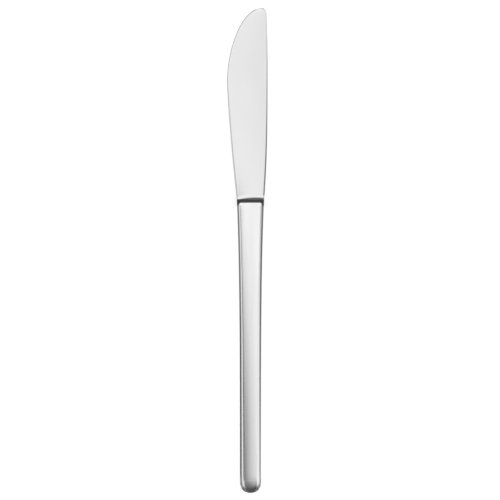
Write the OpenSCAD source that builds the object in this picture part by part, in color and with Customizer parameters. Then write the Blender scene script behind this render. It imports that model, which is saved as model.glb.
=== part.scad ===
// Table knife with a hollow handle.
// The blade, its bolster and its tang are one forging. The tang is cemented into a handle
// of two drawn half shells, which are brazed together along the middle of their sides.
// The knife lies on its back: +Y points to the tip, -X is the cutting side and +Z is up.
// The origin is on the surface that the knife lies on, under the middle of the handle.

/* [Handle] */
// Length of the handle, from its mouth to its butt
handle_len = 142; // [120:1:170]
// Width of the handle along its straight part
handle_w = 10.3; // [9:0.1:13]
// Width of the handle and of the bolster at the mouth
mouth_w = 13.2; // [11:0.1:16]
// How fast the handle narrows behind its mouth, where 1 is a straight taper
waist_power = 4; // [1.5:0.5:8]
// Thickness of the handle
handle_t = 7; // [6:0.1:9]
// Width of the rounded edge beside each flat face, at the mouth
edge_mouth_w = 1.65; // [1.2:0.05:3]
// Width of the rounded edge beside each flat face, at the butt
edge_butt_w = 2.3; // [1.2:0.05:3]
// Angle that the rounded edge turns by before the upright side
edge_turn = 33; // [20:1:45]
// Length over which each flat face falls away to the mouth
mouth_fall_len = 2; // [1:0.1:3]
// Angle of each face at the mouth
mouth_turn = 41; // [20:1:45]
// Length of the rounded butt
butt_len = 6; // [4:0.5:12]
// Fullness of the butt seen from above, where 2 is an ellipse
butt_power = 2.4; // [2:0.1:4]
// Length over which each flat face falls away to the butt
butt_fall_len = 7; // [4:0.5:12]
// Angle of each face at the butt
butt_turn = 17; // [5:1:25]

/* [Shells] */
// Thickness of the drawn sheet
sheet_t = 0.9; // [0.5:0.05:1.1]
// Thickness of the braze between the two shells
braze_t = 0.12; // [0.06:0.01:0.3]
// Clearance round the tang's root in the slot at the mouth
slot_fit = 0.1; // [0.05:0.01:0.3]

/* [Blade] */
// Length of the blade, from the handle's mouth to the tip
blade_len = 94; // [80:1:120]
// Distance of the blade's widest place from the mouth
belly_y = 58; // [40:1:64]
// Reach of the cutting edge from the centre line, at the widest place
belly_x = 11.35; // [9:0.05:15]
// How full the cutting edge is between the bolster and the widest place
heel_power = 1.3; // [1:0.05:2]
// How full the cutting edge is between the widest place and the tip, where 2 is an ellipse
belly_power = 1.88; // [1.5:0.02:2.5]
// Distance of the spine's highest place from the mouth
crest_y = 64; // [50:1:72]
// Reach of the spine from the centre line, at its highest place
crest_x = 8.35; // [8:0.05:12]
// How full the spine is between the bolster and its highest place
spine_power = 3.2; // [1.5:0.1:5]
// Fall of the spine from its highest place to the nose
spine_fall = 0.6; // [0:0.05:1.5]
// Reach of the tip from the centre line
tip_x = 5.4; // [2:0.1:6.5]
// Length of the rounded nose between the spine and the tip
nose_len = 2.8; // [1.5:0.1:6]
// Thickness of the spine at the bolster
heel_t = 2.4; // [1.8:0.1:3]
// Thickness of the spine at the tip
tip_t = 1.1; // [0.8:0.1:1.6]
// Width of the spine's rounding, as a share of its thickness
spine_share = 0.4; // [0.2:0.05:0.6]
// Angle that the spine's rounding turns by
spine_turn = 42; // [20:1:60]
// Angle that the spine's rounding turns by at the bolster
heel_turn = 25; // [10:1:60]
// Length over which the spine's rounding gets its full angle
heel_len = 8; // [4:1:30]
// Thickness of the cutting edge
cut_t = 0.2; // [0.1:0.05:0.4]
// Width of the ground edge
grind_w = 0.75; // [0.4:0.05:2]
// Thickness of the blade behind the ground edge
grind_t = 0.55; // [0.45:0.05:0.8]
// Radius of each side's bulge across the blade
side_r = 320; // [150:10:800]

/* [Bolster and tang] */
// Thickness of the bolster's rim at the cutting side
rim_edge_t = 1.2; // [1.1:0.1:2]
// Thickness of the bolster's rim at the spine's side
rim_spine_t = 4.1; // [3.5:0.1:5]
// Bulge of each face of the rim
rim_bulge = 0.5; // [0.4:0.05:0.8]
// Width of the rim's rounded corners
rim_corner_w = 0.9; // [0.5:0.1:2]
// Angle that the rim's corners turn by
rim_turn = 15; // [5:1:40]
// Length of the hollow flare between the rim and the blade, at the cutting edge
edge_flare = 1.8; // [1:0.1:6]
// Length of the hollow flare at the spine
spine_flare = 3.4; // [1:0.1:6]
// How far the flare's front bows towards the tip between the two
flare_bow = 1.2; // [0:0.1:2]
// How hollow the flare is, where 2 is a parabola
flare_power = 3; // [2:0.5:4]
// Width of the tang's root, which fills the slot at the mouth
root_w = 7.2; // [6:0.1:7.6]
// Thickness of the tang's root
root_t = 2.2; // [1.8:0.1:2.3]
// Length of the tang's root behind the mouth
root_len = 5; // [2:0.5:10]
// Width of the tang beside its root
tang_w = 6; // [5:0.1:7]
// Width of the tang at its round end
tang_end_w = 4; // [3:0.1:5]
// Thickness of the tang
tang_t = 1.9; // [1.4:0.1:2.2]
// Length of the tang behind the mouth
tang_len = 58; // [45:1:90]
// Number of notch pairs that key the tang in the cement
notch_pairs = 3; // [0:1:3]
// Distance of the first notches from the root
notch_start = 9; // [5:1:10]
// Distance between one pair of notches and the next
notch_pitch = 12; // [6:1:12]
// Radius of a notch
notch_r = 1; // [0.5:0.1:1.3]

/* [Hidden] */

blade_colour = [0.80, 0.81, 0.82];
shell_colour = [0.74, 0.75, 0.76];
braze_colour = [0.83, 0.80, 0.70];
cement_colour = [0.62, 0.58, 0.52];

// Facets of each curve
corner_steps = 5;
side_steps = 6;
mouth_steps = 6;
body_steps = 12;
butt_steps = 12;
flare_steps = 8;
heel_steps = 9;
belly_steps = 20;
circle_steps = 48;

// The height of the seam, which is the middle of the handle and of the blade
mid_z = handle_t / 2;
// The plane where the bolster meets the handle
mouth_y = handle_len / 2;
nose_y = blade_len - nose_len;
// The least rounding left on the inside of the sheet
inner_w = 0.3;
// How far the tang's root runs into the bolster
root_lap = 0.05;
// How far cuts run past what they cut
past = 1;
// A short step along the blade, to find the edge's slope
nudge = 0.01;
// How much the deeper of two roundings counts where they meet at a corner
fall_power = 2.4;
// The most of the blade's width that the ground edge or the spine's rounding may take
corner_share = 1 / 3;

function mix(a, b, t) = a + (b - a) * t;
// Falls from 1 at t = 0 to 0 at t = 1, along an ellipse or, with another power, a fuller or leaner curve
function round_off(t, power = 2) = pow(max(0, 1 - pow(t, power)), 1 / power);
function reverse(list) = [for (i = [len(list) - 1 : -1 : 0]) list[i]];
function step_angles(steps, last = 90) = [for (i = [0 : steps]) last * i / steps];
// How far an arc has fallen at a distance from its flat end, if it turns by this angle over its width
function arc_fall(across, width, turn) = let (r = width / sin(turn)) r - sqrt(r * r - across * across);
// Two falls that meet at a corner, where the deeper one counts most
function joined_fall(a, b) = pow(pow(a, fall_power) + pow(b, fall_power), 1 / fall_power);

// A rounded corner as [across, fall] from its flat end, where the face itself may have fallen away
function rounded_corner(width, turn, face_fall) = [for (i = [0 : corner_steps])
    let (across = width * sin(turn * i / corner_steps) / sin(turn))
        [across, joined_fall(arc_fall(across, width, turn), face_fall)]];

// One cross-section is [left, right, z_left, z_right, left_w, left_turn, right_w, right_turn, bulge, fall]:
// its reach to each side, its half thickness there, the width of each rounded corner and the angle
// that it turns by, how far the face bulges, and how far the face has fallen away at an end.
function upper_half(s, steps) = let (
    left = s[0],
    right = s[1],
    z_left = s[2],
    z_right = s[3],
    left_corner = rounded_corner(s[4], s[5], s[9]),
    right_corner = rounded_corner(s[6], s[7], s[9]),
    bulge = s[8],
    fall = s[9],
    face_left = left + s[4],
    face_right = right - s[6],
    points = concat(
        [for (p = reverse(left_corner)) [face_left - p[0], z_left - p[1]]],
        [for (i = [1 : 1 : steps - 1]) let (t = i / steps)
            [mix(face_left, face_right, t), mix(z_left, z_right, t) - fall]],
        [for (p = right_corner) [face_right + p[0], z_right - p[1]]]
    ),
    middle = (left + right) / 2,
    half_w = (right - left) / 2
) [for (p = points) [p[0], p[1] + bulge * (1 - pow((p[0] - middle) / half_w, 2))]];

// The cross-section as a closed ring of points, mirrored about the seam. It has its own place along Y
// at the left and at the right, and bows forward between them.
function bowed_ring(left_y, right_y, bow, s, steps) = let (
    half = [for (p = upper_half(s, steps)) let (t = (p[0] - s[0]) / (s[1] - s[0]))
        [p[0], mix(left_y, right_y, t) + 4 * bow * t * (1 - t), p[1]]]
) concat(
    [for (p = half) [p[0], p[1], mid_z + p[2]]],
    [for (p = reverse(half)) [p[0], p[1], mid_z - p[2]]]
);

// A solid skinned over rings that follow each other towards -Y, closed by a point at each end
module loft(rings, first, last) {
    n = len(rings[0]);
    m = len(rings);
    skin = [for (i = [0 : m - 2], j = [0 : n - 1]) let (k = (j + 1) % n, a = i * n, b = a + n)
        each [[a + j, a + k, b + k], [a + j, b + k, b + j]]];
    front = [for (j = [0 : n - 1]) [m * n, (j + 1) % n, j]];
    back = [for (j = [0 : n - 1]) [m * n + 1, (m - 1) * n + j, (m - 1) * n + (j + 1) % n]];
    polyhedron(concat([for (r = rings) each r], [first, last]), concat(skin, front, back));
}

// Half the handle's width at a distance behind the mouth, before the butt is rounded
function handle_side(d) =
    handle_w / 2 + (mouth_w - handle_w) / 2 * pow(1 - d / handle_len, waist_power);

// How much longer the butt's outline is than its run along the handle, at an angle round the butt
function butt_slant(turn) = turn == 0 ? 1 : let (
    t = sin(turn),
    slope = handle_w / 2 / butt_len * pow(t, butt_power - 1) * pow(round_off(t, butt_power), 1 - butt_power)
) norm([1, slope]);

// How long the rounding at the mouth is, on the outside or the inside of the sheet
function mouth_rounding(inset) = max(mouth_fall_len - inset, inner_w);

// The handle's form at a distance behind the mouth, moved in by an inset. turn is the angle round the butt.
function handle_ring(d, inset, turn = 0) = let (
    half_w = (handle_side(d) - inset) * round_off(sin(turn), butt_power),
    mouth_len = mouth_rounding(inset),
    mouth_fall = arc_fall(max(0, inset + mouth_len - d), mouth_len, mouth_turn),
    butt_fall = arc_fall(max(0, d - handle_len + butt_fall_len), butt_fall_len, butt_turn),
    half_t = handle_t / 2 - inset - butt_fall,
    // The sides' rounding keeps its width round the butt, and thins out there
    slant = butt_slant(turn),
    edge_w = mix(edge_mouth_w, edge_butt_w, d / handle_len),
    corner_w = min(max(edge_w - inset, inner_w) * slant, half_w),
    corner_turn = 2 * atan(tan(edge_turn / 2) / pow(slant, 2)),
    y = mouth_y - d,
    corners = [corner_w, corner_turn, corner_w, corner_turn]
) bowed_ring(y, y, 0, concat([-half_w, half_w, half_t, half_t], corners, [0, mouth_fall]), 1);

function handle_rings(inset) = let (
    mouth_len = mouth_rounding(inset),
    butt_d = handle_len - butt_len,
    last_turn = 90 * (1 - 1 / butt_steps)
) concat(
    [for (i = [0 : mouth_steps]) handle_ring(inset + mouth_len * i / mouth_steps, inset)],
    [for (i = [1 : body_steps - 1]) handle_ring(mix(inset + mouth_len, butt_d, i / body_steps), inset)],
    [for (a = step_angles(butt_steps - 1, last_turn))
        handle_ring(butt_d + (butt_len - inset) * sin(a), inset, a)]
);

// The whole handle's outer form, or its hollow
module handle_form(inset = 0) {
    loft(handle_rings(inset), [0, mouth_y - inset, mid_z], [0, inset - mouth_y, mid_z]);
}

// The sheet of both shells, with the slot for the tang's root
module handle_sheet() {
    slot_w = root_w + 2 * slot_fit;
    slot_t = root_t + 2 * slot_fit;
    difference() {
        handle_form();
        handle_form(sheet_t);
        translate([-slot_w / 2, mouth_y - sheet_t - past, mid_z - slot_t / 2])
            cube([slot_w, sheet_t + 2 * past, slot_t]);
    }
}

// The layer of the handle between two heights
module handle_layer(low, high) {
    intersection() {
        handle_sheet();
        translate([-mouth_w / 2 - past, -mouth_y - past, low])
            cube([mouth_w + 2 * past, handle_len + 2 * past, high - low]);
    }
}

// The cutting edge's reach at a distance from the mouth
function edge_at(b) = b < belly_y
    ? -mix(belly_x, mouth_w / 2, pow(1 - b / belly_y, heel_power))
    : tip_x - (tip_x + belly_x) * round_off((b - belly_y) / (blade_len - belly_y), belly_power);

// The spine's reach at a distance from the mouth
function long_spine(b) = b < crest_y
    ? mix(crest_x, mouth_w / 2, pow(1 - b / crest_y, spine_power))
    : crest_x - spine_fall * pow((b - crest_y) / (nose_y - crest_y), 2);
function spine_at(b) = b < nose_y
    ? long_spine(b)
    : tip_x + (long_spine(nose_y) - tip_x) * round_off((b - nose_y) / nose_len);

// The ground edge's width across the blade, where it has its full width square to the edge
function grind_across(b) = grind_w * norm([1, (edge_at(b + nudge) - edge_at(b - nudge)) / (2 * nudge)]);

// The blade's cross-section: a rounded spine that thins to the ground edge, each at its own distance
function blade_section(edge_b, spine_b) = let (
    left = edge_at(edge_b),
    right = spine_at(spine_b),
    width = right - left,
    spine_t = mix(heel_t, tip_t, (edge_b + spine_b) / 2 / blade_len),
    round_turn = mix(heel_turn, spine_turn, min(1, spine_b / heel_len)),
    bulge = width * width / (8 * side_r),
    grind = grind_across(edge_b),
    grind_turn = 2 * atan((grind_t - cut_t) / 2 / grind),
    // The ground edge and the spine's rounding close up where the tip gets narrow
    grind_corner = [min(grind, width * corner_share), grind_turn],
    spine_corner = [min(spine_t * spine_share, width * corner_share), round_turn]
) concat([left, right, grind_t / 2, (spine_t - bulge) / 2], grind_corner, spine_corner, [bulge, 0]);

// The bolster's rim is a wedge like the blade, but thicker
rim_corner = [rim_corner_w, rim_turn];
bolster_section = concat(
    [-mouth_w / 2, mouth_w / 2, rim_edge_t / 2, rim_spine_t / 2], rim_corner, rim_corner, [rim_bulge, 0]
);

function blade_ring(edge_b, spine_b, bow, section) =
    bowed_ring(mouth_y + edge_b, mouth_y + spine_b, bow, section, side_steps);

// Rings from the bolster's rim, through its hollow flare, to the tip
function blade_rings() = let (last_turn = 90 * (1 - 1 / belly_steps)) concat(
    [for (i = [0 : flare_steps]) let (t = i / flare_steps, edge_b = edge_flare * t, spine_b = spine_flare * t)
        blade_ring(edge_b, spine_b, flare_bow * t,
            mix(blade_section(edge_b, spine_b), bolster_section, pow(1 - t, flare_power)))],
    [for (i = [1 : heel_steps - 1]) let (
        t = i / heel_steps,
        edge_b = mix(edge_flare, belly_y, t),
        spine_b = mix(spine_flare, belly_y, t)
    ) blade_ring(edge_b, spine_b, flare_bow * (1 - t), blade_section(edge_b, spine_b))],
    [for (a = step_angles(belly_steps - 1, last_turn)) let (b = mix(belly_y, blade_len, sin(a)))
        blade_ring(b, b, 0, blade_section(b, b))]
);

// The tang and its thicker root, from the bolster's rim back into the handle
module tang() {
    translate([-root_w / 2, mouth_y - root_len, mid_z - root_t / 2])
        cube([root_w, root_len + root_lap, root_t]);
    translate([0, mouth_y, mid_z - tang_t / 2])
        linear_extrude(tang_t)
            tang_outline();
}

// The tang from above: it starts inside its root, tapers to a round end and is notched on both sides
module tang_outline() {
    start_y = -root_len / 2;
    end_r = tang_end_w / 2;
    end_y = end_r - tang_len;
    difference() {
        union() {
            polygon([[-tang_w / 2, start_y], [tang_w / 2, start_y], [end_r, end_y], [-end_r, end_y]]);
            translate([0, end_y])
                circle(end_r, $fn = circle_steps);
        }
        for (i = [0 : 1 : notch_pairs - 1], side = [-1, 1]) {
            notch_y = -root_len - notch_start - notch_pitch * i;
            half_w = mix(tang_w / 2, end_r, (notch_y - start_y) / (end_y - start_y));
            translate([side * half_w, notch_y])
                circle(notch_r, $fn = circle_steps);
        }
    }
}

module blade() {
    color(blade_colour)
        union() {
            loft(reverse(blade_rings()), [tip_x, mouth_y + blade_len, mid_z], [0, mouth_y, mid_z]);
            tang();
        }
}

module front_shell() {
    color(shell_colour)
        handle_layer(mid_z + braze_t / 2, handle_t + past);
}

module back_shell() {
    color(shell_colour)
        handle_layer(-past, mid_z - braze_t / 2);
}

module seam_braze() {
    color(braze_colour)
        handle_layer(mid_z - braze_t / 2, mid_z + braze_t / 2);
}

module cement_core() {
    color(cement_colour)
        difference() {
            handle_form(sheet_t);
            tang();
        }
}

blade();
front_shell();
back_shell();
seam_braze();
cement_core();
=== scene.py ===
import math
from collections import namedtuple

import bmesh
import bpy
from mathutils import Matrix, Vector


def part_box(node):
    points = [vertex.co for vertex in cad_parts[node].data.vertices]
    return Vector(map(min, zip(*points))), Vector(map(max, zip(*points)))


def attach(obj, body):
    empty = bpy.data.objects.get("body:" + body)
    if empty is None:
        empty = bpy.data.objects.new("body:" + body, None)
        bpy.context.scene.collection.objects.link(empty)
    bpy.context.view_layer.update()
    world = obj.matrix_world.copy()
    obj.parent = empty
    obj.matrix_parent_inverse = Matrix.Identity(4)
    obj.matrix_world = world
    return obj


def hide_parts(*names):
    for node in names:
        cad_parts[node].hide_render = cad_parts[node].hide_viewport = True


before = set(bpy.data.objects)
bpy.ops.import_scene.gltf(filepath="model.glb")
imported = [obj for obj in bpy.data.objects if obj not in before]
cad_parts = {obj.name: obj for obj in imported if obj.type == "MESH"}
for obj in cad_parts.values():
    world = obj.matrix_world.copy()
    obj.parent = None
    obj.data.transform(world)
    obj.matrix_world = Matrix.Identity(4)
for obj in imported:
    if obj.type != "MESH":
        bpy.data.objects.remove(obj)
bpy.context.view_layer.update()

MM = 0.001

# Sizes and places that the frame gives
SHELL_LOW, SHELL_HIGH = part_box("front_shell")
BLADE_LOW, BLADE_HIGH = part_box("blade")
SEAM_LOW, SEAM_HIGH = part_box("seam_braze")
CORE_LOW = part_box("cement_core")[0]
MOUTH_Y = SHELL_HIGH.y
MOUTH_W = SHELL_HIGH.x - SHELL_LOW.x
HANDLE_LEN = MOUTH_Y - SEAM_LOW.y
HANDLE_T = SHELL_HIGH.z
MID_Z = HANDLE_T / 2
SHEET_T = CORE_LOW.z
BRAZE_T = SEAM_HIGH.z - SEAM_LOW.z
BLADE_LEN = BLADE_HIGH.y - MOUTH_Y
BELLY_X = -BLADE_LOW.x
CREST_X = BLADE_HIGH.x
TANG_LEN = MOUTH_Y - BLADE_LOW.y

# The handle's form
HANDLE_W = 10.3 * MM
WAIST_POWER = 4
EDGE_MOUTH_W = 1.65 * MM
EDGE_BUTT_W = 2.3 * MM
EDGE_TURN = math.radians(33)
FALL_POWER = 2.4
MOUTH_FALL_LEN = 2.0 * MM
MOUTH_TURN = math.radians(41)
BUTT_LEN = 6 * MM
BUTT_POWER = 2.4
BUTT_FALL_LEN = 7 * MM
BUTT_TURN = math.radians(17)
INNER_W = 0.3 * MM
CROWN_R = 48 * MM
SLOT_FIT = 0.1 * MM

# The most of a section's half width that each rounded edge takes near the butt's end
CORNER_LIMIT = 0.95

# The blade's form, where distances along it start at the handle's mouth
BELLY_Y = 58 * MM
HEEL_POWER = 1.3
BELLY_POWER = 1.88
CREST_Y = 64 * MM
SPINE_POWER = 3.2
SPINE_FALL = 0.6 * MM
TIP_X = 5.4 * MM
NOSE_LEN = 2.8 * MM
NOSE_Y = BLADE_LEN - NOSE_LEN
HEEL_T = 2.4 * MM
TIP_T = 1.1 * MM
CUT_T = 0.2 * MM
GRIND_W = 0.75 * MM
GRIND_T = 0.55 * MM
SIDE_R = 320 * MM
SPINE_SHARE = 0.4
SPINE_TURN = math.radians(42)
HEEL_TURN = math.radians(25)
HEEL_LEN = 8 * MM

# The most of the blade's width that the ground edge or the spine's rounding takes near the tip
TIP_SHARE = 1 / 3

# The bolster and the tang
JOINT_GAP = 0.01 * MM
RIM_EDGE_T = 1.2 * MM
RIM_SPINE_T = 4.1 * MM
RIM_BULGE = 0.5 * MM
RIM_CORNER_W = 0.9 * MM
RIM_TURN = math.radians(15)
EDGE_FLARE = 1.8 * MM
SPINE_FLARE = 3.4 * MM
FLARE_BOW = 1.2 * MM
FLARE_POWER = 3
ROOT_W = 7.2 * MM
ROOT_T = 2.2 * MM
ROOT_LEN = 5 * MM
TANG_W = 6 * MM
TANG_END_W = 4 * MM
TANG_T = 1.9 * MM
TANG_EDGE_R = 0.15 * MM
NOTCH_PAIRS = 3
NOTCH_START = 9 * MM
NOTCH_PITCH = 12 * MM
NOTCH_R = 1 * MM

# Painted shade in the joint: the steel's colour darkened to stand in for the joint's shadow and dark
# reflection
JOINT_SHADE_CORE = 0.4 * MM
JOINT_SHADE_REACH = 1.05 * MM
JOINT_SHADE_CORNER_W = 2.2 * MM
JOINT_SHADE_CORNER_REACH = 2.0 * MM
JOINT_SHADE_LEVEL = 0.15

# Steps of each curve
CORNER_STEPS = 10
FACE_STEPS = 20
MOUTH_STEPS = 10
BODY_STEPS = 64
BUTT_STEPS = 24
FLARE_STEPS = 12
HEEL_STEPS = 48
BELLY_STEPS = 48
NOTCH_STEPS = 10
FLOOR_STEPS = 8
COVE_STEPS = 12
FLOOR_SPOKES = 96
SLOPE_STEP = 0.01 * MM
SHARP_ANGLE = math.radians(35)

# Noise values that get the ends of a range, and the depth of the steel's grain
NOISE_LOW = 0.3
NOISE_HIGH = 0.7
GRAIN_DEPTH = 0.001 * MM

# The studio, where the camera looks straight down
CAMERA_HEIGHT = 1.1
CAMERA_REACH = 20.0
VIEW_HEIGHT = 243.5 * MM
VIEW_X = -0.22 * MM
VIEW_Y = 47.04 * MM
FLOOR_DROP = 0.02 * MM
FLOOR_RADIUS = 6.0
COVE_RADIUS = 0.9
FLOOR_GLOW = 0.53

# The sky, where places and reaches are along the X and Y of a direction
OVERHEAD_CENTRE = (0.05, -0.03)
OVERHEAD_REACH = (0.96, 0.88)
OVERHEAD_CORE = 0.5
OVERHEAD_LIGHT = 1.12
SIDE_LIGHT = 0.12
RING_LIGHT = 0.42
RING_TOP = 0.62
RING_FULL = 0.48

# A dark card in the sky: its centre, its reach, the share of its reach where it is darkest, and how much of
# the light it takes away there
Card = namedtuple("Card", "centre reach core strength")
CARDS = [
    # Change of tone over the handle's face, its left edge and the blade
    Card((-0.24, -0.105), (0.295, 0.135), 0.3, 0.82),
    Card((-0.33, -0.02), (0.2, 0.12), 0.2, 0.7),
    Card((0.06, 0.12), (0.3, 0.25), 0.0, 0.13),
    Card((0.3, -0.12), (0.22, 0.25), 0.2, 0.2),
    # Dark outlines along the sides
    Card((0.84, 0.0), (0.26, 0.11), 0.4, 0.75),
    Card((0.55, 0.05), (0.35, 0.09), 0.4, 0.75),
    Card((-0.9, -0.045), (0.12, 0.075), 0.5, 0.6),
    # Dark end of the butt, with its corners
    Card((0.0, -0.35), (0.3, 0.38), 0.5, 0.52),
    Card((-0.1, -0.32), (0.2, 0.2), 0.3, 0.56),
    Card((-0.34, -0.28), (0.2, 0.13), 0.2, 0.25),
    Card((0.45, -0.58), (0.35, 0.15), 0.3, 0.3),
    Card((0.25, -0.42), (0.24, 0.3), 0.2, 0.5),
    Card((0.05, -0.66), (0.6, 0.38), 0.4, 0.85),
    # Dark rounding of the mouth
    Card((0.0, 0.95), (0.6, 0.47), 0.3, 0.6),
]
RING_CARDS = [
    # Dark outlines along the sides
    Card((-0.86, -0.06), (0.13, 0.08), 0.5, 1.0),
    Card((-0.78, -0.28), (0.12, 0.24), 0.4, 0.9),
    Card((0.79, -0.035), (0.16, 0.085), 0.75, 0.95),
    Card((0.93, -0.2), (0.13, 0.1), 0.5, 0.9),
    Card((0.78, -0.42), (0.12, 0.16), 0.4, 0.9),
    # Dark corners of the butt
    Card((-0.53, -0.65), (0.2, 0.17), 0.5, 0.95),
    Card((0.53, -0.65), (0.2, 0.17), 0.5, 0.95),
    Card((0.64, -0.5), (0.18, 0.13), 0.4, 0.8),
]


def mix(a, b, t):
    """The value at a share t of the way from a to b."""
    return a + (b - a) * t


def steps(count, last=1.0):
    """Even steps from 0 to last."""
    return [last * i / count for i in range(count + 1)]


def quarter_turn(count, last=1.0):
    """Even steps of a quarter turn, or of a share of it."""
    return [math.pi / 2 * t for t in steps(count, last)]


def round_off(t, power=2.0):
    """Falls from 1 at t = 0 to 0 at t = 1 along an ellipse, or a fuller or leaner curve."""
    return max(0.0, 1.0 - t ** power) ** (1.0 / power)


def arc_fall(across, width, turn):
    """How far an arc has fallen at a distance from its level end, if its whole width turns by this angle."""
    radius = width / math.sin(turn)
    return radius - math.sqrt(radius ** 2 - across ** 2)


def joined_fall(a, b):
    """Two falls that meet at a corner, where the deeper one counts most."""
    return (a ** FALL_POWER + b ** FALL_POWER) ** (1 / FALL_POWER)


# A cross-section: its reach to each side, its half thickness there, the width of each rounded corner and
# the angle it turns by, how far the face bulges between the corners, and how far it has fallen at an end
Section = namedtuple("Section", "left right left_z right_z left_w left_turn right_w right_turn bulge fall")


def even_section(half_w, half_t, corner_w, turn=math.pi / 2, bulge=0.0, fall=0.0):
    """A cross-section that is the same to both sides."""
    return Section(-half_w, half_w, half_t, half_t, corner_w, turn, corner_w, turn, bulge, fall)


def mix_sections(a, b, t):
    """The cross-section at a share t of the way from a to b."""
    return Section(*(mix(p, q, t) for p, q in zip(a, b)))


def half_outline(s):
    """The upper half of a cross-section as (x, z), from its left side over its face to its right side."""
    flat = []
    for t in steps(CORNER_STEPS)[::-1]:
        across = s.left_w * math.sin(s.left_turn * t) / math.sin(s.left_turn)
        fall = joined_fall(arc_fall(across, s.left_w, s.left_turn), s.fall)
        flat.append((s.left + s.left_w - across, s.left_z - fall))
    for t in steps(FACE_STEPS)[1:-1]:
        flat.append((mix(s.left + s.left_w, s.right - s.right_w, t), mix(s.left_z, s.right_z, t) - s.fall))
    for t in steps(CORNER_STEPS):
        across = s.right_w * math.sin(s.right_turn * t) / math.sin(s.right_turn)
        fall = joined_fall(arc_fall(across, s.right_w, s.right_turn), s.fall)
        flat.append((s.right - s.right_w + across, s.right_z - fall))
    middle = (s.left + s.right) / 2
    half_w = (s.right - s.left) / 2
    return [(x, z + s.bulge * (1 - ((x - middle) / half_w) ** 2)) for x, z in flat]


def closed_ring(left_y, right_y, bow, section):
    """The whole cross-section, mirrored about the seam.

    It has its own place along Y at the left and at the right, and bows forward between them.
    """
    upper = []
    for x, z in half_outline(section):
        t = (x - section.left) / (section.right - section.left)
        upper.append((x, mix(left_y, right_y, t) + 4 * bow * t * (1 - t), MID_Z + z))
    return upper + [(x, y, 2 * MID_Z - z) for x, y, z in reversed(upper)]


def make_piece(name, points, faces, material):
    """A smooth closed mesh with outward faces, sharp where its faces meet at an angle."""
    mesh = bpy.data.meshes.new(name)
    mesh.from_pydata(points, [], faces)
    shape = bmesh.new()
    shape.from_mesh(mesh)
    bmesh.ops.recalc_face_normals(shape, faces=shape.faces)
    shape.to_mesh(mesh)
    shape.free()
    mesh.shade_smooth()
    mesh.set_sharp_from_angle(angle=SHARP_ANGLE)
    mesh.materials.append(material)
    piece = bpy.data.objects.new(name, mesh)
    bpy.context.scene.collection.objects.link(piece)
    return piece


def bridge(first, second, count, closed):
    """Quads between two rows of points that start at these indices."""
    quads = []
    for j in range(count if closed else count - 1):
        k = (j + 1) % count
        quads.append((first + j, first + k, second + k, second + j))
    return quads


def loft(rings, first_point, last_point):
    """Points and faces of a closed skin over rings, with a point at each end."""
    count = len(rings[0])
    points = [p for ring in rings for p in ring] + [first_point, last_point]
    first = len(points) - 2
    last = len(points) - 1
    end = (len(rings) - 1) * count
    faces = []
    for i in range(len(rings) - 1):
        faces += bridge(i * count, (i + 1) * count, count, closed=True)
    for j in range(count):
        k = (j + 1) % count
        faces.append((first, k, j))
        faces.append((last, end + j, end + k))
    return points, faces


# The handle

def handle_side(d):
    """Half the handle's width at a distance behind the mouth, before the butt is rounded."""
    return HANDLE_W / 2 + (MOUTH_W - HANDLE_W) / 2 * (1 - d / HANDLE_LEN) ** WAIST_POWER


def butt_slant(turn):
    """How much longer the butt's outline is than its run along the handle, at an angle round the butt."""
    if turn == 0:
        return 1.0
    t = math.sin(turn)
    rise = HANDLE_W / 2 / BUTT_LEN * t ** (BUTT_POWER - 1) * round_off(t, BUTT_POWER) ** (1 - BUTT_POWER)
    return math.hypot(1.0, rise)


def mouth_round(inset):
    """How far the mouth's rounding runs along a skin that is moved in by an inset."""
    return max(MOUTH_FALL_LEN - inset, INNER_W)


def handle_station(d, inset, turn=0.0):
    """The handle's place along Y and its cross-section at a distance behind the mouth, moved in by an inset.

    turn is the angle round the butt.
    """
    half_w = (handle_side(d) - inset) * round_off(math.sin(turn), BUTT_POWER)
    mouth_len = mouth_round(inset)
    mouth_fall = arc_fall(max(0.0, inset + mouth_len - d), mouth_len, MOUTH_TURN)
    butt_fall = arc_fall(max(0.0, d - HANDLE_LEN + BUTT_FALL_LEN), BUTT_FALL_LEN, BUTT_TURN)
    half_t = HANDLE_T / 2 - inset - butt_fall
    # Round the butt, the sides' rounding keeps its width square to the outline and gets shallower
    slant = butt_slant(turn)
    edge_w = max(mix(EDGE_MOUTH_W, EDGE_BUTT_W, d / HANDLE_LEN) - inset, INNER_W)
    corner_w = min(edge_w * slant, CORNER_LIMIT * half_w)
    corner_turn = 2 * math.atan(math.tan(EDGE_TURN / 2) * edge_w / slant / corner_w)
    crown = half_w ** 2 / (2 * CROWN_R) if inset == 0 else 0.0
    return MOUTH_Y - d, even_section(half_w, half_t - crown, corner_w, corner_turn, crown, mouth_fall)


def handle_stations(inset):
    """Stations from the mouth to just before the butt's end."""
    mouth_len = mouth_round(inset)
    butt_d = HANDLE_LEN - BUTT_LEN
    stations = [handle_station(inset + mouth_len * t, inset) for t in steps(MOUTH_STEPS)]
    for t in steps(BODY_STEPS)[1:-1]:
        stations.append(handle_station(mix(inset + mouth_len, butt_d, t), inset))
    for a in quarter_turn(BUTT_STEPS - 1, 1 - 1 / BUTT_STEPS):
        stations.append(handle_station(butt_d + (BUTT_LEN - inset) * math.sin(a), inset, a))
    return stations


def slot_section():
    """The slot in the mouth that the tang's root fills."""
    return even_section(ROOT_W / 2 + SLOT_FIT, ROOT_T / 2 + SLOT_FIT, TANG_EDGE_R)


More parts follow.
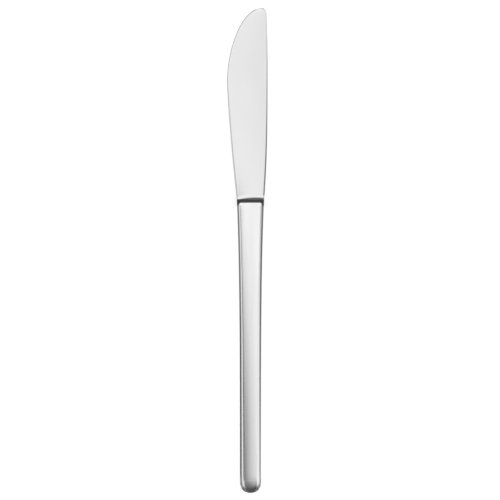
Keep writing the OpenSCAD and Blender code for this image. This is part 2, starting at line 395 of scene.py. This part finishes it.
def shell_piece(name, side, material):
    """One half of the handle: its outer skin, the slot at the mouth, its inner skin and the seam's rim."""
    seam = BRAZE_T / 2
    outer = handle_stations(0.0)
    inner = handle_stations(SHEET_T)
    mouth = [(MOUTH_Y, slot_section()), (MOUTH_Y - SHEET_T, slot_section())]
    rows = []
    for y, section in outer[::-1] + mouth + inner:
        half = [(section.left, seam)] + half_outline(section) + [(section.right, seam)]
        rows.append([(x, y, MID_Z + side * z) for x, z in half])
    count = len(rows[0])
    points = [p for row in rows for p in row]
    outer_pole = len(points)
    inner_pole = outer_pole + 1
    points.append((0.0, MOUTH_Y - HANDLE_LEN, MID_Z + side * seam))
    points.append((0.0, MOUTH_Y - HANDLE_LEN + SHEET_T, MID_Z + side * seam))
    last = (len(rows) - 1) * count
    faces = []
    for i in range(len(rows) - 1):
        faces += bridge(i * count, (i + 1) * count, count, closed=False)
    for j in range(count - 1):
        faces.append((outer_pole, j, j + 1))
        faces.append((inner_pole, last + j + 1, last + j))
    # Each outer row's ends are joined to those of the inner row at the same station
    for i in range(len(rows) // 2 - 1):
        for end in (0, count - 1):
            j = len(rows) - 1 - i
            faces.append((i * count + end, (i + 1) * count + end, (j - 1) * count + end, j * count + end))
    for end in (0, count - 1):
        faces.append((outer_pole, end, last + end, inner_pole))
    return make_piece(name, points, faces, material)


def seam_piece(name, material):
    """The strip of braze between the two halves, from one side of the slot round the butt to the other."""
    slot_x = ROOT_W / 2 + SLOT_FIT
    pairs = [((slot_x, MOUTH_Y), (slot_x, MOUTH_Y - SHEET_T))]
    for (outer_y, outer), (inner_y, inner) in zip(handle_stations(0.0), handle_stations(SHEET_T)):
        pairs.append(((outer.right, outer_y), (inner.right, inner_y)))
    path = [((-a[0], a[1]), (-b[0], b[1])) for a, b in pairs]
    path.append(((0.0, MOUTH_Y - HANDLE_LEN), (0.0, MOUTH_Y - HANDLE_LEN + SHEET_T)))
    path += pairs[::-1]
    top = MID_Z + BRAZE_T / 2
    bottom = MID_Z - BRAZE_T / 2
    points = []
    for outer, inner in path:
        points += [(*outer, top), (*inner, top), (*inner, bottom), (*outer, bottom)]
    corners = 4
    faces = [(0, 1, 2, 3), tuple(range(len(points) - corners, len(points)))]
    for i in range(len(path) - 1):
        faces += bridge(i * corners, (i + 1) * corners, corners, closed=True)
    return make_piece(name, points, faces, material)


# The blade

def edge_at(b):
    """The cutting edge's place across the blade at a distance from the mouth."""
    if b < BELLY_Y:
        return -mix(BELLY_X, MOUTH_W / 2, (1 - b / BELLY_Y) ** HEEL_POWER)
    return TIP_X - (TIP_X + BELLY_X) * round_off((b - BELLY_Y) / (BLADE_LEN - BELLY_Y), BELLY_POWER)


def long_spine_at(b):
    """The spine's place before the nose is rounded."""
    if b < CREST_Y:
        return mix(CREST_X, MOUTH_W / 2, (1 - b / CREST_Y) ** SPINE_POWER)
    return CREST_X - SPINE_FALL * ((b - CREST_Y) / (NOSE_Y - CREST_Y)) ** 2


def spine_at(b):
    """The spine's place across the blade at a distance from the mouth."""
    if b < NOSE_Y:
        return long_spine_at(b)
    return TIP_X + (long_spine_at(NOSE_Y) - TIP_X) * round_off((b - NOSE_Y) / NOSE_LEN)


def grind_across(b):
    """The ground edge's width across the blade, where it has its full width square to the edge."""
    slope = (edge_at(b + SLOPE_STEP) - edge_at(b - SLOPE_STEP)) / (2 * SLOPE_STEP)
    return GRIND_W * math.hypot(1, slope)


def blade_section(edge_b, spine_b):
    """A rounded spine that thins to the ground edge, each at its own distance from the mouth."""
    left = edge_at(edge_b)
    right = spine_at(spine_b)
    spine_t = mix(HEEL_T, TIP_T, (edge_b + spine_b) / 2 / BLADE_LEN)
    # The ground edge and the spine's rounding close up where the tip gets narrow
    grind = grind_across(edge_b)
    grind_turn = 2 * math.atan((GRIND_T - CUT_T) / 2 / grind)
    tip_w = TIP_SHARE * (right - left)
    grind_w = min(grind, tip_w)
    spine_w = min(spine_t * SPINE_SHARE, tip_w)
    spine_turn = mix(HEEL_TURN, SPINE_TURN, min(1.0, spine_b / HEEL_LEN))
    bulge = (right - left) ** 2 / (8 * SIDE_R)
    half_t = spine_t / 2 - bulge / 2
    return Section(left, right, GRIND_T / 2, half_t, grind_w, grind_turn, spine_w, spine_turn, bulge, 0.0)


def bolster_section():
    """The rim, a wedge like the blade but thicker."""
    half_w = MOUTH_W / 2
    corners = (RIM_CORNER_W, RIM_TURN, RIM_CORNER_W, RIM_TURN)
    return Section(-half_w, half_w, RIM_EDGE_T / 2, RIM_SPINE_T / 2, *corners, RIM_BULGE, 0.0)


def blade_stations():
    """Stations from the tip, over the belly and the heel, to the bolster's rim.

    Each has its distance from the mouth at the edge and at the spine, its bow and its cross-section.
    """
    stations = []
    for t in steps(FLARE_STEPS):
        edge_b = JOINT_GAP + EDGE_FLARE * t
        spine_b = JOINT_GAP + SPINE_FLARE * t
        section = mix_sections(blade_section(edge_b, spine_b), bolster_section(), (1 - t) ** FLARE_POWER)
        stations.append((edge_b, spine_b, FLARE_BOW * t, section))
    for t in steps(HEEL_STEPS)[1:-1]:
        edge_b = mix(JOINT_GAP + EDGE_FLARE, BELLY_Y, t)
        spine_b = mix(JOINT_GAP + SPINE_FLARE, BELLY_Y, t)
        stations.append((edge_b, spine_b, FLARE_BOW * (1 - t), blade_section(edge_b, spine_b)))
    for a in quarter_turn(BELLY_STEPS - 1, 1 - 1 / BELLY_STEPS):
        b = mix(BELLY_Y, BLADE_LEN, math.sin(a))
        stations.append((b, b, 0.0, blade_section(b, b)))
    return stations[::-1]


def tang_stations():
    """Stations from the root, past the notches, to the tang's round end."""
    end_r = TANG_END_W / 2
    end_d = TANG_LEN - end_r

    def taper(d):
        return mix(TANG_W / 2, end_r, (d - ROOT_LEN / 2) / (end_d - ROOT_LEN / 2))

    places = [(ROOT_LEN, taper(ROOT_LEN))]
    for i in range(NOTCH_PAIRS):
        centre = ROOT_LEN + NOTCH_START + NOTCH_PITCH * i
        for t in steps(NOTCH_STEPS):
            d = centre - NOTCH_R * math.cos(math.pi * t)
            places.append((d, taper(d) - NOTCH_R * math.sin(math.pi * t)))
    for a in quarter_turn(NOTCH_STEPS - 1, 1 - 1 / NOTCH_STEPS):
        places.append((end_d + end_r * math.sin(a), end_r * math.cos(a)))
    root = even_section(ROOT_W / 2, ROOT_T / 2, TANG_EDGE_R)
    stations = [(JOINT_GAP, JOINT_GAP, 0.0, root), (-ROOT_LEN, -ROOT_LEN, 0.0, root)]
    for d, half_w in places:
        stations.append((-d, -d, 0.0, even_section(half_w, TANG_T / 2, TANG_EDGE_R)))
    return stations


def blade_piece(name, material):
    """The forging: blade, hollow flare, bolster rim, tang root and notched tang in one skin."""
    rings = []
    for edge_b, spine_b, bow, section in blade_stations() + tang_stations():
        rings.append(closed_ring(MOUTH_Y + edge_b, MOUTH_Y + spine_b, bow, section))
    tip = (TIP_X, MOUTH_Y + BLADE_LEN, MID_Z)
    tang_end = (0.0, MOUTH_Y - TANG_LEN, MID_Z)
    points, faces = loft(rings, tip, tang_end)
    return make_piece(name, points, faces, material)


# Materials

def add_node(tree, kind, **settings):
    """A new node with these settings."""
    node = tree.nodes.new(kind)
    for key, value in settings.items():
        setattr(node, key, value)
    return node


def new_material(name):
    """A material, its node tree and its main shader."""
    material = bpy.data.materials.new(name)
    material.use_nodes = True
    tree = material.node_tree
    return material, tree, tree.nodes["Principled BSDF"]


def arithmetic(tree, operation, a, b=None):
    """One step of arithmetic on a socket. The second value is a socket, a number or nothing."""
    node = add_node(tree, "ShaderNodeMath", operation=operation)
    tree.links.new(a, node.inputs[0])
    if isinstance(b, (int, float)):
        node.inputs[1].default_value = b
    elif b is not None:
        tree.links.new(b, node.inputs[1])
    return node.outputs["Value"]


def mapped(tree, value, start, end, first, last, kind="LINEAR"):
    """A value that goes from first to last where the given one goes from start to end."""
    node = add_node(tree, "ShaderNodeMapRange", interpolation_type=kind)
    node.inputs["From Min"].default_value = start
    node.inputs["From Max"].default_value = end
    node.inputs["To Min"].default_value = first
    node.inputs["To Max"].default_value = last
    tree.links.new(value, node.inputs["Value"])
    return node.outputs["Result"]


def faded(tree, value, start, end, first, last):
    """A mapped value that starts and ends softly."""
    return mapped(tree, value, start, end, first, last, kind="SMOOTHSTEP")


def stretched_noise(tree, scale, detail=3.0):
    """Noise whose grain has this many cycles to the metre along each axis."""
    place = add_node(tree, "ShaderNodeTexCoord")
    stretch = add_node(tree, "ShaderNodeMapping")
    stretch.inputs["Scale"].default_value = scale
    noise = add_node(tree, "ShaderNodeTexNoise")
    noise.inputs["Scale"].default_value = 1.0
    noise.inputs["Detail"].default_value = detail
    tree.links.new(place.outputs["Object"], stretch.inputs["Vector"])
    tree.links.new(stretch.outputs["Vector"], noise.inputs["Vector"])
    return noise.outputs["Fac"]


def ranged(tree, noise, low, high):
    """A noise value spread from low to high."""
    return mapped(tree, noise, NOISE_LOW, NOISE_HIGH, low, high)


def grey(level):
    """A colour without a tint."""
    return (level, level, level)


def tinted(tree, noise, dark, light):
    """A noise value as a colour between two colours."""
    ramp = add_node(tree, "ShaderNodeValToRGB")
    ramp.color_ramp.elements[0].position = NOISE_LOW
    ramp.color_ramp.elements[0].color = (*dark, 1.0)
    ramp.color_ramp.elements[1].position = NOISE_HIGH
    ramp.color_ramp.elements[1].color = (*light, 1.0)
    tree.links.new(noise, ramp.inputs["Fac"])
    return ramp.outputs["Color"]


def bumped(tree, shader, height, strength, distance):
    """Gives a shader fine relief."""
    bump = add_node(tree, "ShaderNodeBump")
    bump.inputs["Strength"].default_value = strength
    bump.inputs["Distance"].default_value = distance
    tree.links.new(height, bump.inputs["Height"])
    tree.links.new(bump.outputs["Normal"], shader.inputs["Normal"])


def joint_painted_shade(tree, colour, shade_corner_reach):
    """A colour darkened by painted shade in the joint between the bolster and the handle, standing in for
    the joint's shadow and dark reflection.

    The painted shade reaches further in the joint's corners, by the given corner reach.
    """
    place = add_node(tree, "ShaderNodeTexCoord")
    axes = add_node(tree, "ShaderNodeSeparateXYZ")
    tree.links.new(place.outputs["Object"], axes.inputs["Vector"])
    aside = arithmetic(tree, "ABSOLUTE", axes.outputs["X"])
    corner = faded(tree, aside, MOUTH_W / 2 - JOINT_SHADE_CORNER_W, MOUTH_W / 2, 0.0, shade_corner_reach)
    along = arithmetic(tree, "ABSOLUTE", arithmetic(tree, "SUBTRACT", axes.outputs["Y"], MOUTH_Y))
    far = arithmetic(tree, "SUBTRACT", along, corner)
    unshaded = faded(tree, far, JOINT_SHADE_CORE, JOINT_SHADE_REACH, JOINT_SHADE_LEVEL, 1.0)
    shade = add_node(tree, "ShaderNodeVectorMath", operation="SCALE")
    tree.links.new(colour, shade.inputs["Vector"])
    tree.links.new(unshaded, shade.inputs["Scale"])
    return shade.outputs["Vector"]


def steel(name, dark, light, smooth, rough, grain, cloud, shade_corner_reach):
    """Steel with fine lines along its grain, slow cloudy changes of polish, and painted shade in the joint.
    """
    material, tree, shader = new_material(name)
    lines = stretched_noise(tree, grain)
    clouds = stretched_noise(tree, cloud)
    # Painted shade: the colour is darkened in the joint between bolster and handle, standing in for its
    # shadow and dark reflection
    colour = joint_painted_shade(tree, tinted(tree, clouds, dark, light), shade_corner_reach)
    shader.inputs["Metallic"].default_value = 1.0
    tree.links.new(colour, shader.inputs["Base Color"])
    tree.links.new(ranged(tree, lines, smooth, rough), shader.inputs["Roughness"])
    bumped(tree, shader, lines, strength=0.2, distance=GRAIN_DEPTH)
    return material


def blade_steel():
    """Polished, with faint grinding lines that run across the blade."""
    return steel(
        "blade_steel",
        dark=grey(0.685),
        light=grey(0.705),
        smooth=0.07,
        rough=0.11,
        grain=(60, 2500, 60),
        cloud=(90, 40, 90),
        shade_corner_reach=0.0,
    )


def handle_steel():
    """Satin, brushed along the handle."""
    return steel(
        "handle_steel",
        dark=grey(0.77),
        light=grey(0.80),
        smooth=0.10,
        rough=0.16,
        grain=(3000, 40, 3000),
        cloud=(200, 25, 200),
        # The painted shade in the joint reaches further into the handle's corners at the mouth
        shade_corner_reach=JOINT_SHADE_CORNER_REACH,
    )


def braze_alloy():
    """Silver braze, a little warmer and duller than the steel."""
    material, tree, shader = new_material("braze_alloy")
    grain = stretched_noise(tree, (4000, 1500, 4000))
    shader.inputs["Metallic"].default_value = 1.0
    tree.links.new(tinted(tree, grain, (0.70, 0.66, 0.56), (0.78, 0.75, 0.66)), shader.inputs["Base Color"])
    tree.links.new(ranged(tree, grain, 0.30, 0.42), shader.inputs["Roughness"])
    bumped(tree, shader, grain, strength=0.4, distance=0.01 * MM)
    return material


def cement():
    """Set handle cement, granular and dull."""
    material, tree, shader = new_material("cement")
    grains = stretched_noise(tree, (1800, 1800, 1800), detail=8.0)
    tree.links.new(tinted(tree, grains, (0.42, 0.38, 0.33), (0.62, 0.57, 0.50)), shader.inputs["Base Color"])
    tree.links.new(ranged(tree, grains, 0.80, 0.95), shader.inputs["Roughness"])
    bumped(tree, shader, grains, strength=0.6, distance=0.1 * MM)
    return material


# The studio

def floor_material():
    """Pale paper that the camera and polished metal see as white, and that still takes shadows."""
    material, tree, shader = new_material("pale_floor")
    fibre = stretched_noise(tree, (400, 400, 400))
    tree.links.new(tinted(tree, fibre, grey(0.88), grey(0.90)), shader.inputs["Base Color"])
    shader.inputs["Roughness"].default_value = 0.9
    shader.inputs["Specular IOR Level"].default_value = 0.0
    rays = add_node(tree, "ShaderNodeLightPath")
    seen = arithmetic(tree, "MAXIMUM", rays.outputs["Is Camera Ray"], rays.outputs["Is Glossy Ray"])
    seen = arithmetic(tree, "MAXIMUM", seen, rays.outputs["Is Transmission Ray"])
    shader.inputs["Emission Color"].default_value = (*grey(1.0), 1.0)
    tree.links.new(arithmetic(tree, "MULTIPLY", seen, FLOOR_GLOW), shader.inputs["Emission Strength"])
    return material


def floor_piece():
    """A round floor whose rim curves up into a low cove."""
    profile = [(FLOOR_RADIUS * t, 0.0) for t in steps(FLOOR_STEPS)[1:]]
    for a in quarter_turn(COVE_STEPS)[1:]:
        profile.append((FLOOR_RADIUS + COVE_RADIUS * math.sin(a), COVE_RADIUS * (1 - math.cos(a))))
    points = []
    for radius, height in profile:
        for t in steps(FLOOR_SPOKES, 2 * math.pi)[:-1]:
            points.append((radius * math.cos(t), radius * math.sin(t), height - FLOOR_DROP))
    points.append((0.0, 0.0, -FLOOR_DROP))
    faces = [(len(points) - 1, i, (i + 1) % FLOOR_SPOKES) for i in range(FLOOR_SPOKES)]
    for i in range(len(profile) - 1):
        faces += bridge((i + 1) * FLOOR_SPOKES, i * FLOOR_SPOKES, FLOOR_SPOKES, closed=True)
    mesh = bpy.data.meshes.new("floor")
    mesh.from_pydata(points, [], faces)
    mesh.shade_smooth()
    mesh.materials.append(floor_material())
    floor = bpy.data.objects.new("floor", mesh)
    bpy.context.scene.collection.objects.link(floor)


def sky_spot(tree, direction, centre, reach, core):
    """A soft spot in the sky: 1 in its core, 0 past its reach along X and Y."""
    offset = add_node(tree, "ShaderNodeVectorMath", operation="SUBTRACT")
    offset.inputs[1].default_value = (*centre, 0.0)
    share = add_node(tree, "ShaderNodeVectorMath", operation="MULTIPLY")
    share.inputs[1].default_value = (1 / reach[0], 1 / reach[1], 0.0)
    far = add_node(tree, "ShaderNodeVectorMath", operation="LENGTH")
    tree.links.new(direction, offset.inputs[0])
    tree.links.new(offset.outputs["Vector"], share.inputs[0])
    tree.links.new(share.outputs["Vector"], far.inputs[0])
    return faded(tree, far.outputs["Value"], core, 1.0, 1.0, 0.0)


def shaded(tree, light, direction, cards):
    """A light that dark cards take some of away."""
    for card in cards:
        spot = sky_spot(tree, direction, card.centre, card.reach, card.core)
        passed = arithmetic(tree, "ADD", arithmetic(tree, "MULTIPLY", spot, -card.strength), 1.0)
        light = arithmetic(tree, "MULTIPLY", light, passed)
    return light


def sky_ring(tree, direction):
    """A soft ring of light, low in the sky all round."""
    axes = add_node(tree, "ShaderNodeSeparateXYZ")
    tree.links.new(direction, axes.inputs["Vector"])
    return faded(tree, axes.outputs["Z"], RING_FULL, RING_TOP, RING_LIGHT, 0.0)


def studio_world():
    """A wide soft light overhead, dim sides and a soft ring low down, with dark cards before them."""
    world = bpy.data.worlds.new("studio")
    world.use_nodes = True
    bpy.context.scene.world = world
    tree = world.node_tree
    background = tree.nodes["Background"]
    place = add_node(tree, "ShaderNodeTexCoord")
    direction = place.outputs["Generated"]
    overhead = sky_spot(tree, direction, OVERHEAD_CENTRE, OVERHEAD_REACH, OVERHEAD_CORE)
    light = arithmetic(tree, "ADD", arithmetic(tree, "MULTIPLY", overhead, OVERHEAD_LIGHT), SIDE_LIGHT)
    high = shaded(tree, light, direction, CARDS)
    low = shaded(tree, sky_ring(tree, direction), direction, RING_CARDS)
    tree.links.new(arithmetic(tree, "ADD", high, low), background.inputs["Color"])
    background.inputs["Strength"].default_value = 1.0


def straight_down_camera():
    """A camera over the knife, which fills the frame from tip to butt."""
    data = bpy.data.cameras.new("camera")
    data.lens = data.sensor_width * (CAMERA_HEIGHT - MID_Z) / VIEW_HEIGHT
    data.clip_end = CAMERA_REACH
    camera = bpy.data.objects.new("camera", data)
    camera.location = (VIEW_X, VIEW_Y, CAMERA_HEIGHT)
    bpy.context.scene.collection.objects.link(camera)
    bpy.context.scene.camera = camera


def dress(piece, node):
    """The piece stands for a CAD node and takes its finish from a slot."""
    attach(piece, "root")
    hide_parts(node)


bpy.context.scene.view_settings.view_transform = "Standard"
straight_down_camera()
studio_world()
floor_piece()

shell_steel = handle_steel()
dress(blade_piece("forged_blade", blade_steel()), "blade")
dress(shell_piece("front_handle_shell", 1, shell_steel), "front_shell")
dress(shell_piece("back_handle_shell", -1, shell_steel), "back_shell")
dress(seam_piece("brazed_seam", braze_alloy()), "seam_braze")

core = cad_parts["cement_core"]
core.data.materials.clear()
core.data.materials.append(cement())
